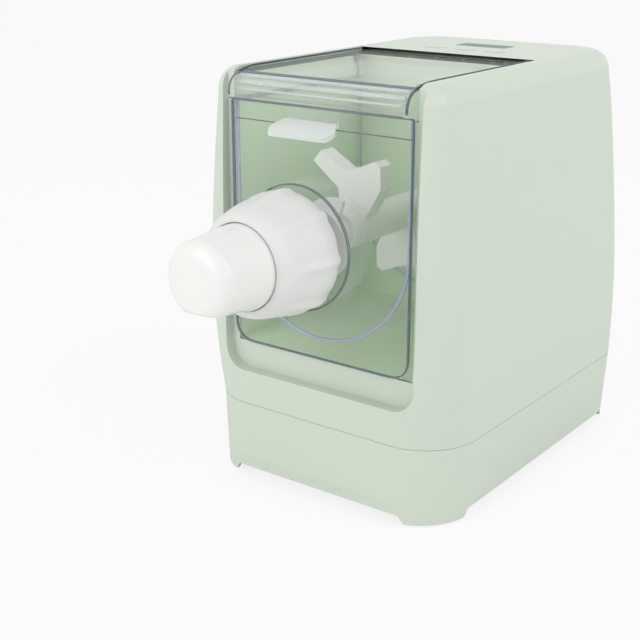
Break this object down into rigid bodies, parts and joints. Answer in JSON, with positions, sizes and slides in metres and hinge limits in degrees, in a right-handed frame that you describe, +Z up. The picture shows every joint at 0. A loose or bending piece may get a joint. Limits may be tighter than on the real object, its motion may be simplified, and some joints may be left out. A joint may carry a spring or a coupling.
{
  "type": "electric pasta maker",
  "caption": "Free-standing electric pasta maker with a lidded clear mixing tank that slides out, a paddle and auger on one drive, and a nose with a screw collar and outlet head.",
  "frame": {"origin": "on the table under the middle of the whole object", "axes": "+Z up; the outlet nose points along -Y; +X is to the right of a viewer who faces the nose"},
  "size_m": [0.202, 0.3885, 0.2863],
  "materials": {
    "housing": "satin pale sage moulding",
    "liner": "satin deeper sage",
    "clear": "clear polished plastic",
    "frosted": "frosted white",
    "white": "satin white",
    "collar": "fine satin off-white",
    "die": "smooth off-white",
    "rubber": "matt",
    "seal": "silicone",
    "display": "grey window",
    "steel": "ground",
    "zinc": "zinc plated",
    "nylon": "moulded",
    "case": "moulded",
    "board": "laminate",
    "black": "moulded",
    "brass": "bright"
  },
  "bodies": {
    "machine": {"upper_housing": "housing", "left_flank": "housing", "right_flank": "housing", "front_skirt": "housing", "bay_liner": "liner", "base_housing": "housing", "bottom_plate": "liner", "base_screws": "zinc", "rubber_feet": "rubber", "display_window": "display", "key_board": "board", "display_module": "black", "key_switches": "black", "power_board": "board", "board_parts": "black", "power_inlet": "black", "inlet_pins": "brass", "gearbox_front": "case", "gearbox_rear": "case", "intermediate_axle": "steel", "shaft_bearings": "steel", "shaft_seal": "seal", "motor_can": "zinc", "gearbox_screws": "zinc"},
    "tank": {"mixing_tank": "clear", "tank_front": "clear", "tank_back": "clear", "lid_hinge_pins": "clear"},
    "lid": {"tank_lid": "clear", "lid_tab": "frosted"},
    "mixer": {"mixing_paddle": "white", "auger_screw": "white"},
    "outlet": {"outlet_head": "white", "die_plate": "die", "head_seal": "seal"},
    "collar": {"collar_nut": "collar"},
    "drive": {"drive_shaft": "steel", "output_gear": "nylon"},
    "intermediate": {"compound_gear": "nylon"},
    "rotor": {"motor_pinion": "steel", "rotor_shaft": "steel", "cooling_fan": "black"},
    "left_key": {"key_left": "housing"},
    "middle_key": {"key_middle": "housing"},
    "right_key": {"key_right": "housing"}
  },
  "joints": [
    {"name": "tank_slide", "type": "slide", "parent": "machine", "child": "tank", "axis": [0, -1, 0], "range_m": [0, 0.15]},
    {"name": "lid_hinge", "type": "hinge", "parent": "tank", "child": "lid", "pos_m": [0, 0.0655, 0.2795], "axis": [-1, 0, 0], "range_deg": [0, 100]},
    {"name": "mixer_spin", "type": "hinge", "parent": "tank", "child": "mixer", "pos_m": [0, 0, 0.1815], "axis": [0, 1, 0], "continuous": true},
    {"name": "drive_spin", "type": "hinge", "parent": "machine", "child": "drive", "pos_m": [0, 0.08, 0.1815], "axis": [0, 1, 0], "continuous": true},
    {"name": "intermediate_spin", "type": "hinge", "parent": "machine", "child": "intermediate", "pos_m": [0, 0.08, 0.1195], "axis": [0, 1, 0], "continuous": true},
    {"name": "rotor_spin", "type": "hinge", "parent": "machine", "child": "rotor", "pos_m": [0, 0.08, 0.0715], "axis": [0, 1, 0], "continuous": true},
    {"name": "outlet_slide", "type": "slide", "parent": "tank", "child": "outlet", "axis": [0, -1, 0], "range_m": [0, 0.008]},
    {"name": "collar_turn", "type": "hinge", "parent": "outlet", "child": "collar", "pos_m": [0, -0.12, 0.1815], "axis": [0, -1, 0], "range_deg": [0, 720]},
    {"name": "left_key_press", "type": "slide", "parent": "machine", "child": "left_key", "axis": [0, 0, -1], "range_m": [0, 0.001], "stiffness_N_per_m": 500},
    {"name": "middle_key_press", "type": "slide", "parent": "machine", "child": "middle_key", "axis": [0, 0, -1], "range_m": [0, 0.001], "stiffness_N_per_m": 500},
    {"name": "right_key_press", "type": "slide", "parent": "machine", "child": "right_key", "axis": [0, 0, -1], "range_m": [0, 0.001], "stiffness_N_per_m": 500}
  ],
  "couplings": [
    {"joint": "mixer_spin", "follows": "drive_spin", "ratio": 1},
    {"joint": "intermediate_spin", "follows": "drive_spin", "ratio": -3.4286},
    {"joint": "rotor_spin", "follows": "drive_spin", "ratio": 14.857},
    {"joint": "outlet_slide", "follows": "collar_turn", "m_per_rad": 0.00063662}
  ]
}
